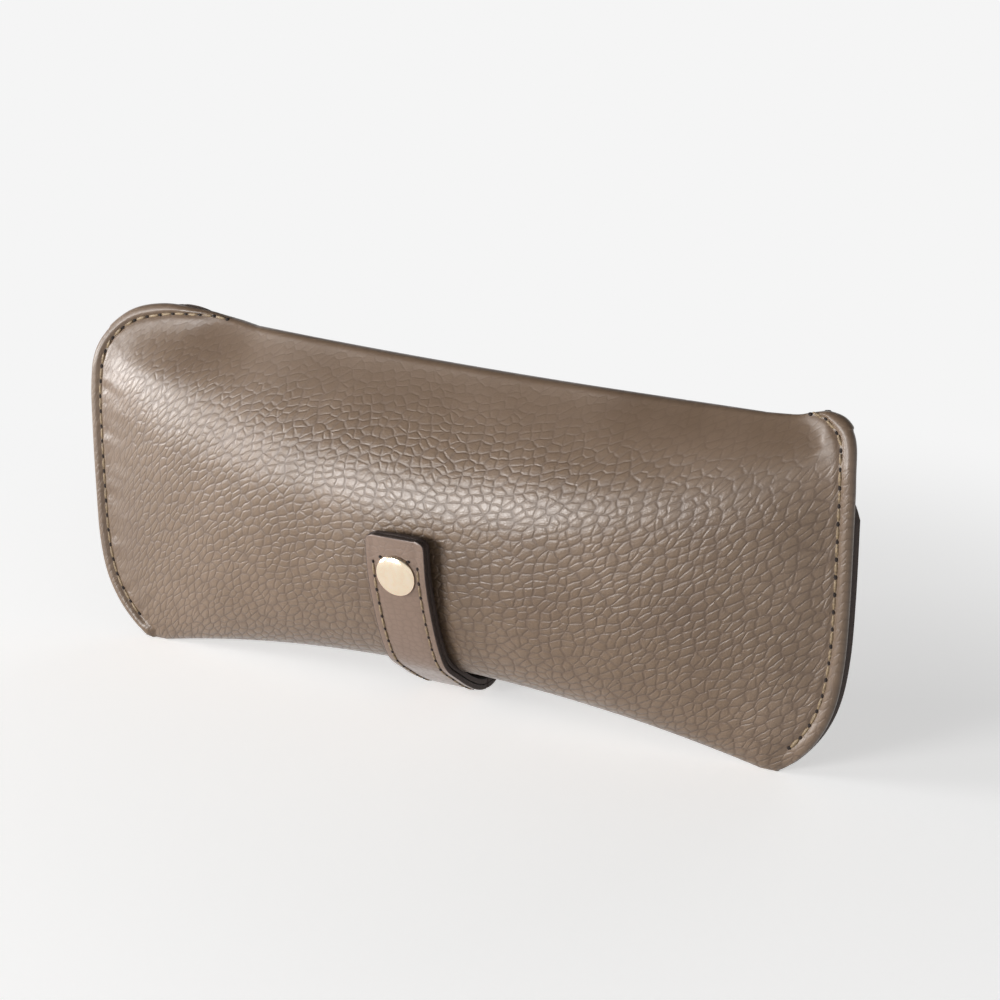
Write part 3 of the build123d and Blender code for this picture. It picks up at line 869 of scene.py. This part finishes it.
for part, rows, bodies, bend, joint_end, nodes in (
        ("tip", slice(0, joint_row + 1), ("strap_bend", "strap_tip"),
         tip_bend, -1, ("strap_tip", "strap_bend")),
        ("base", slice(joint_row, None), ("flap", "strap_bend"),
         base_bend, 0, ("strap_base",))):
    for layer, face, material in (
            ("leather", strap_face, strap_leather),
            ("backing", strap_inside, strap_back_leather)):
        bulge = np.full(face[rows].shape[:2], 0.22)
        bulge[joint_end] = 0.0
        points, quads, kinds = closed_sheet(
            face[rows], strap_layer - 0.02, bulge, 0.5,
            normal=strap_normal[rows])
        piece = new_piece(f"case_strap_{part}_{layer}", points, quads,
                          [material, material, edge_paint], kinds,
                          hide_places(whole_strap)[rows])
        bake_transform(piece)
        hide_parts(*(f"{node}_{layer}" for node in nodes))

# ---------------------------------------------------------------------------
# Stitches. Waxed tan polyester thread, 0.6 mm, lockstitched at 3.5 mm: each
# stitch lies in the seam's groove between two awl holes.

stitch_pitch, stitch_length, thread_width, thread_height = 3.5, 2.9, 0.72, 0.6
strap_stitch_pitch, strap_stitch_length, strap_thread_share = 3.3, 2.7, 0.8
hole_length, hole_width, thread_lift = 1.05, 0.8, 0.1
points_per_stitch, pitch_slack = 6, 1.0005
mouth_seam_inset, flap_seam_inset, seam_start = 2.5, 2.6, 6

# twisted thread drawn through wax: tan with darker strands, half gloss
thread_material = fine_finish(
    "thread_waxed_polyester_tan", "#65533F", "#9C8768", 0.5, 0.1, 0.5)
# a dark blob at each awl hole: painted shade inside the hole
hole_shade_material = fine_finish(
    "awl_hole_painted_shade", "#1E1714", "#2C221E", 0.3, 0.03, 0.9)


def stitch_tree():
    """Threads and holes set along a line, one of each to a pitch."""
    tree = bpy.data.node_groups.new("stitch_row", "GeometryNodeTree")
    for name, kind in (
            ("Geometry", "Geometry"), ("Stitch pitch", "Float"),
            ("Stitch length", "Float"), ("Thread width", "Float"),
            ("Thread height", "Float"), ("Thread lift", "Float"),
            ("Hole length", "Float"), ("Hole width", "Float"),
            ("Thread", "Material"), ("Hole", "Material"), ("Seed", "Int")):
        tree.interface.new_socket(name=name, in_out="INPUT",
                                  socket_type="NodeSocket" + kind)
    tree.interface.new_socket(name="Geometry", in_out="OUTPUT",
                              socket_type="NodeSocketGeometry")
    node = partial(add_node, tree)
    given = node("NodeGroupInput").outputs
    row = node("GeometryNodeMeshToCurve", [("Mesh", given["Geometry"])])
    facing = node("GeometryNodeInputNamedAttribute", [
        ("Name", "facing")], data_type="FLOAT_VECTOR").outputs["Attribute"]
    turned = node("FunctionNodeAxesToRotation", [
        ("Primary Axis", facing),
        ("Secondary Axis", node("GeometryNodeInputTangent"))],
        primary_axis="Z", secondary_axis="X")
    # a thread lies between two holes, so its row is half a pitch shorter
    # at both ends
    half_pitch = node("ShaderNodeMath", [
        (0, given["Stitch pitch"]), (1, 0.5)], operation="MULTIPLY")
    last = node("ShaderNodeMath", [
        (0, node("GeometryNodeSplineLength")), (1, half_pitch)],
        operation="SUBTRACT")
    inner_row = node("GeometryNodeTrimCurve", [
        ("Curve", row), (4, half_pitch), (5, last)], mode="LENGTH")
    random_size = node("FunctionNodeRandomValue", [
        ("Seed", given["Seed"]), (2, 0.92), (3, 1.08)], data_type="FLOAT")
    joined = node("GeometryNodeJoinGeometry")
    for curve, sizes, lift, material, segments in (
            (inner_row, ("Stitch length", "Thread width", "Thread height"),
             given["Thread lift"], given["Thread"], 10),
            (row, ("Hole length", "Hole width", "Hole width"),
             0.0, given["Hole"], 8)):
        ball = node("GeometryNodeMeshUVSphere", [
            ("Segments", segments), ("Rings", 6), ("Radius", 0.5)])
        size = node("ShaderNodeCombineXYZ", [
            (axis, given[name]) for axis, name in zip("XYZ", sizes)])
        ball = node("GeometryNodeTransform", [
            ("Geometry", ball), ("Scale", size)])
        spaced = node("GeometryNodeResampleCurve", [
            ("Curve", curve), ("Length", given["Stitch pitch"])],
            mode="LENGTH")
        offset = node("ShaderNodeVectorMath", [
            (0, facing), ("Scale", lift)], operation="SCALE")
        lifted = node("GeometryNodeSetPosition", [
            ("Geometry", spaced), ("Offset", offset)])
        placed = node("GeometryNodeInstanceOnPoints", [
            ("Points", lifted), ("Instance", ball), ("Rotation", turned),
            ("Scale", random_size.outputs[1])])
        real = node("GeometryNodeRealizeInstances", [("Geometry", placed)])
        painted = node("GeometryNodeSetMaterial", [
            ("Geometry", real), ("Material", material)])
        tree.links.new(painted.outputs[0], joined.inputs[0])
    smooth = node("GeometryNodeSetShadeSmooth", [("Geometry", joined)])
    node("NodeGroupOutput", [("Geometry", smooth)])
    return tree


stitch_row = stitch_tree()


def sew(name, rows, node_name, body, seed, pitch=stitch_pitch,
        length=stitch_length, weight=1.0):
    """Stitches along rows of (points, outward directions) in mm. The body is
    one that they ride on; given instead as the two bodies of a bend and where
    it is, it is not used, and the stitches stay where they are made."""
    points, facing, edges = [], [], []
    for row_points, row_facing in rows:
        run = run_along(row_points)
        count = int(run[-1] / (pitch * pitch_slack))
        spare = (run[-1] - count * pitch * pitch_slack) / 2
        places = np.linspace(spare, run[-1] - spare,
                             points_per_stitch * count + 1)
        edges += [(len(points) + k, len(points) + k + 1)
                  for k in range(points_per_stitch * count)]
        points.extend(picked(row_points, run, places))
        facing.extend(picked(row_facing, run, places))
    guide_mesh = bpy.data.meshes.new(name + "_guide")
    guide_mesh.from_pydata((np.array(points) * MM).tolist(), edges, [])
    guide_mesh.materials.append(thread_material)
    attribute = guide_mesh.attributes.new("facing", "FLOAT_VECTOR", "POINT")
    attribute.data.foreach_set("vector", np.ravel(facing))
    guide = new_object(name + "_guide", guide_mesh)
    modifier = guide.modifiers.new("stitches", "NODES")
    modifier.node_group = stitch_row
    values = {"Stitch pitch": pitch * MM, "Stitch length": length * MM,
              "Thread width": thread_width * weight * MM,
              "Thread height": thread_height * weight * MM,
              "Thread lift": thread_lift * MM,
              "Hole length": hole_length * weight * MM,
              "Hole width": hole_width * weight * MM,
              "Thread": thread_material,
              "Hole": hole_shade_material, "Seed": seed}
    for item in stitch_row.interface.items_tree:
        if item.in_out == "INPUT" and item.name in values:
            modifier[item.identifier] = values[item.name]
    evaluated = guide.evaluated_get(bpy.context.evaluated_depsgraph_get())
    mesh = bpy.data.meshes.new_from_object(evaluated)
    bpy.data.objects.remove(guide)
    piece = new_object(name, mesh)
    if isinstance(body, tuple):
        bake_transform(piece)
    else:
        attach(piece, body)
    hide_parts(node_name)


def seam_row(side, wall, last_run):
    """The line of stitches inside a sewn end, on one face of the case."""
    run = end_runs[side]
    chosen = (run >= seam_start) & (run <= last_run)
    line = moved_in(end_lines[side], side, seam_inset(side, run))[chosen]
    x, z = line.T
    y = seam_y + wall[0] * wall_depth(x, z, wall)
    leaned_y, leaned_z = leaning_back(x, y, z)
    y = leaned_y if wall is front_wall else y
    points = np.column_stack([x, y, leaned_z])
    return points, np.zeros(points.shape) + (0, wall[0], 0)


for side, name, seed in ((-1, "left_seam_thread", 11),
                         (1, "right_seam_thread", 12)):
    below_mouth = end_runs[side][end_lines[side][:, 1] < 52][-1]
    sew("case_" + name, [seam_row(side, front_wall, seam_ends[side]),
                         seam_row(side, back_wall, below_mouth)],
        name, "pocket", seed)


def grid_row(face, rows, columns):
    """A line over a grid's face, and the face's outward directions."""
    return (at_rows(face, rows, columns),
            at_rows(cloth_normals(face), rows, columns))


# along the mouth
mouth_columns = np.arange(12, wall_columns - 12)
row_spacing = np.linalg.norm(pocket_face[1] - pocket_face[0], axis=1)
mouth_rows = mouth_seam_inset / np.maximum(0.1, row_spacing[mouth_columns])
sew("case_mouth_thread",
    [grid_row(pocket_face[:back_rows], mouth_rows, mouth_columns)],
    "mouth_thread", "pocket", 13)

# round the flap
flat_rim = np.vstack([flap_outside[12:, 0], flap_outside[-1, 1:-1],
                      flap_outside[12:, -1][::-1]])[:, [0, 2]]
seam_xz = even_line(moved_in(flat_rim, 1, flap_seam_inset), 160)
seam_x = seam_xz[:, 0]
seam_turn = flap_turn(*seam_xz.T)
flap_seam = flap_face(seam_x, seam_turn, flap_start(seam_x), flap_lift)
flap_facing = np.column_stack([0 * seam_turn, np.sin(seam_turn) / back_bulge,
                               np.cos(seam_turn) / 33.0])
flap_facing /= np.linalg.norm(flap_facing, axis=1)[:, None]
sew("case_flap_thread", [(flap_seam, flap_facing)], "flap_thread", "flap", 14)


def strap_rows(first, last, crossing_row):
    """Two lines of stitches along the strap, joined near its end."""
    low, high = (
        int(np.abs(strap_face[10, :, 0]
                   - side * (strap_half_width - strap_seam_inset)).argmin())
        for side in (1, -1))
    return [grid_row(strap_face, np.arange(first, last), low),
            grid_row(strap_face, np.arange(first, last), high),
            grid_row(strap_face, crossing_row, np.arange(low + 1, high))]


tip_first = np.where((strap_line[:, 1] > 37) & (strap_line[:, 0] < 0))[0][-1]
base_rows = np.where((strap_line[:, 1] > 22) & (strap_line[:, 0] > 0))[0]
for name, rows, node_name, body, seed in (
        ("case_strap_tip_thread",
         strap_rows(tip_first, joint_row - 3, tip_first),
         "strap_tip_thread", ("strap_bend", "strap_tip") + tip_bend, 15),
        ("case_strap_base_thread",
         strap_rows(base_rows[0], base_rows[-1] - 2, base_rows[-1] - 3),
         "strap_base_thread", "flap", 16)):
    sew(name, rows, node_name, body, seed, strap_stitch_pitch,
        strap_stitch_length, strap_thread_share)

# ---------------------------------------------------------------------------
# Press stud. A domed cap of brass, plated pale gold and polished, riveted
# through the strap over a socket; the stud and its washer sit in the front.

cap_segments, cap_thickness, cap_stand_off = 96, 0.25, 0.3
cap_height_up_strap = 33.5
cap_profile = ((0.0, 1.0), (1.0, 0.985), (2.0, 0.93), (2.9, 0.82),
               (3.6, 0.66), (4.05, 0.47), (4.32, 0.3), (4.46, 0.14),
               (4.5, 0.0), (4.44, -0.14), (4.3, -0.22),
               (4.05, -cap_thickness))  # radius and height

# pressed, plated and polished, so nearly smooth, with faint turning marks
pale_gold = fine_finish(
    "brass_plated_pale_gold", "#F4E0C4", "#FBEAD2", 10 / 7, 0.02,
    (0.128, 0.208), [("Metallic", 1.0)])
plated_steel = fine_finish(
    "steel_pressed_brass_plated", "#B9A27C", "#CBB48C", 10 / 7, 0.02,
    (0.24, 0.39), [("Metallic", 1.0)])

cap_row = np.abs(strap_line[:60, 1] - cap_height_up_strap).argmin()
cap_normal = strap_normal[cap_row, strap_columns // 2]
cap_base = (whole_strap[cap_row, strap_columns // 2]
            + cap_normal * cap_stand_off)
cap_side = np.array([1.0, 0, 0])
cap_up = np.cross(cap_normal, cap_side)
radii, heights = smooth_line(cap_profile, 40).T[..., None, None]
angles = np.linspace(0, 2 * pi, cap_segments, endpoint=False)[:, None]
rings = (cap_base + cap_normal * heights[1:]
         + radii[1:] * (cap_side * np.cos(angles) + cap_up * np.sin(angles)))
cap_points = np.vstack([cap_base + cap_normal * heights[0],
                        rings.reshape(-1, 3),
                        cap_base - cap_normal * cap_thickness])
number = np.arange(rings.shape[0] * cap_segments).reshape(len(rings), -1) + 1
faces = []
for near, far in zip(number, number[1:]):
    faces += zip(near, far, np.roll(far, -1), np.roll(near, -1))
for centre, ring in ((0, number[0]), (len(cap_points) - 1, number[-1][::-1])):
    faces += [(centre, a, b) for a, b in zip(ring, np.roll(ring, -1))]
cap = new_piece("case_snap_cap", cap_points, faces, [pale_gold])
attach(cap, "strap_tip")
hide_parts("snap_cap")
for name in ("snap_stud", "snap_washer", "snap_socket"):
    node_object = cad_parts[name]
    node_object.data.materials.clear()
    node_object.data.materials.append(plated_steel)

# ---------------------------------------------------------------------------
# Studio: a pale sweep of paper, two soft lamps at the front left and a weak
# one behind, a pale room, and the camera where the photograph was taken.

background = 0.913              # how bright camera and metal see the room


def paper_floor():
    """Matt white paper, which fades into the background round the case."""
    material, node = new_material("paper_floor_white")
    place = node("ShaderNodeTexCoord").outputs["Object"]
    marks = node("ShaderNodeTexNoise", [
        ("Vector", place), ("Scale", 0.9 / MM)])
    tint = node("ShaderNodeValToRGB", [
        ("Fac", marks)], stops=((0.3, "#F7F6F5"), (0.7, "#FAFAF9")))
    matte = node("ShaderNodeBsdfDiffuse", [("Color", tint)])
    seen = node("ShaderNodeLightPath").outputs
    either = node("ShaderNodeMath", [
        (0, seen["Is Camera Ray"]), (1, seen["Is Glossy Ray"])],
        operation="MAXIMUM")
    near_glow = node("ShaderNodeMath", [
        (0, either), (1, 0.42)], operation="MULTIPLY")
    near_glow = node("ShaderNodeEmission", [
        ("Color", (1, 1, 1, 1)), ("Strength", near_glow)])
    near = node("ShaderNodeAddShader", [(0, matte), (1, near_glow)])
    far = node("ShaderNodeEmission", [
        ("Color", (1, 1, 1, 1)), ("Strength", background)])
    away = node("ShaderNodeVectorMath", [
        (0, place)], operation="LENGTH").outputs["Value"]
    away = node("ShaderNodeMapRange", [
        ("Value", away), ("From Min", 0.1), ("From Max", 0.26)],
        interpolation_type="SMOOTHSTEP")
    away = node("ShaderNodeMath", [
        (0, either), (1, away)], operation="MULTIPLY")
    mix = node("ShaderNodeMixShader", [("Fac", away), (1, near), (2, far)])
    node("ShaderNodeOutputMaterial", [("Surface", mix)])
    return material


floor_mesh = bpy.data.meshes.new("paper_floor")
floor_mesh.from_pydata([(-3, -3, 0), (3, -3, 0), (3, 3, 0), (-3, 3, 0)], [],
                       [(0, 1, 2, 3)])
floor_mesh.materials.append(paper_floor())
new_object("paper_floor", floor_mesh)

# the room is paler at the sides than overhead
world = bpy.data.worlds.new("studio")
bpy.context.scene.world = world
world.use_nodes = True
world.node_tree.nodes.clear()
node = partial(add_node, world.node_tree)
seen = node("ShaderNodeLightPath").outputs
either = node("ShaderNodeMath", [
    (0, seen["Is Camera Ray"]), (1, seen["Is Glossy Ray"])],
    operation="MAXIMUM")
direction = node("ShaderNodeTexCoord").outputs["Generated"]
height = node("ShaderNodeSeparateXYZ", [(0, direction)])
as_lit_and_seen = [node("ShaderNodeMapRange", [
    ("Value", height.outputs["Z"]), ("From Min", low), ("From Max", high),
    ("To Min", side), ("To Max", 0.12)], interpolation_type="SMOOTHSTEP")
    for low, high, side in ((0.15, 0.8, 0.48), (0.2, 0.7, background))]
strength = node("ShaderNodeMix", [
    ("Factor", either), (2, as_lit_and_seen[0]), (3, as_lit_and_seen[1])],
    data_type="FLOAT")
sky = node("ShaderNodeBackground", [
    ("Color", (1, 1, 1, 1)), ("Strength", strength)])
node("ShaderNodeOutputWorld", [("Surface", sky)])


def axes_with_back(back):
    """A lamp's or the camera's axes as columns: right, up and back."""
    back = np.array(back) / np.linalg.norm(back)
    right = np.cross((0, 0, 1), back)
    right /= np.linalg.norm(right)
    return np.column_stack([right, np.cross(back, right), back])


def stand(thing, axes, spot):
    rows = np.vstack([np.column_stack([axes, spot]), (0, 0, 0, 1)])
    thing.matrix_world = Matrix(rows.tolist())


for name, spot, size, power in (
        ("key_lamp", (-0.41, -0.87, 0.14), 0.34, 8.8),
        ("side_lamp", (-0.85, -0.36, 0.14), 0.34, 6.5),
        ("back_lamp", (0.15, 0.95, 0.42), 0.60, 0.9)):
    light = bpy.data.lights.new(name, "AREA")
    light.shape, light.size, light.energy = "SQUARE", size, power
    stand(new_object(name, light),
          axes_with_back(np.subtract(spot, (0, 0, 0.04))), spot)

azimuth, elevation = radians(28.78), radians(17.41)
distance, lens_pixels, frame_pixels = 0.4484, 2100.0, 1000.0
origin_in_frame = (442.3, 698.5)        # in pixels
axes = axes_with_back((sin(azimuth) * cos(elevation),
                       -cos(azimuth) * cos(elevation), sin(elevation)))
right, down = (np.array(origin_in_frame) - frame_pixels / 2) / lens_pixels
spot = (axes @ (-right * distance, down * distance, distance)
        + (0, seam_y * MM, 0))
camera_data = bpy.data.cameras.new("camera")
camera_data.sensor_width = 36.0
camera_data.lens = lens_pixels / frame_pixels * camera_data.sensor_width
camera_data.clip_start = 0.01
camera = new_object("camera", camera_data)
stand(camera, axes, spot)
bpy.context.scene.camera = camera
bpy.context.scene.view_settings.view_transform = "Standard"
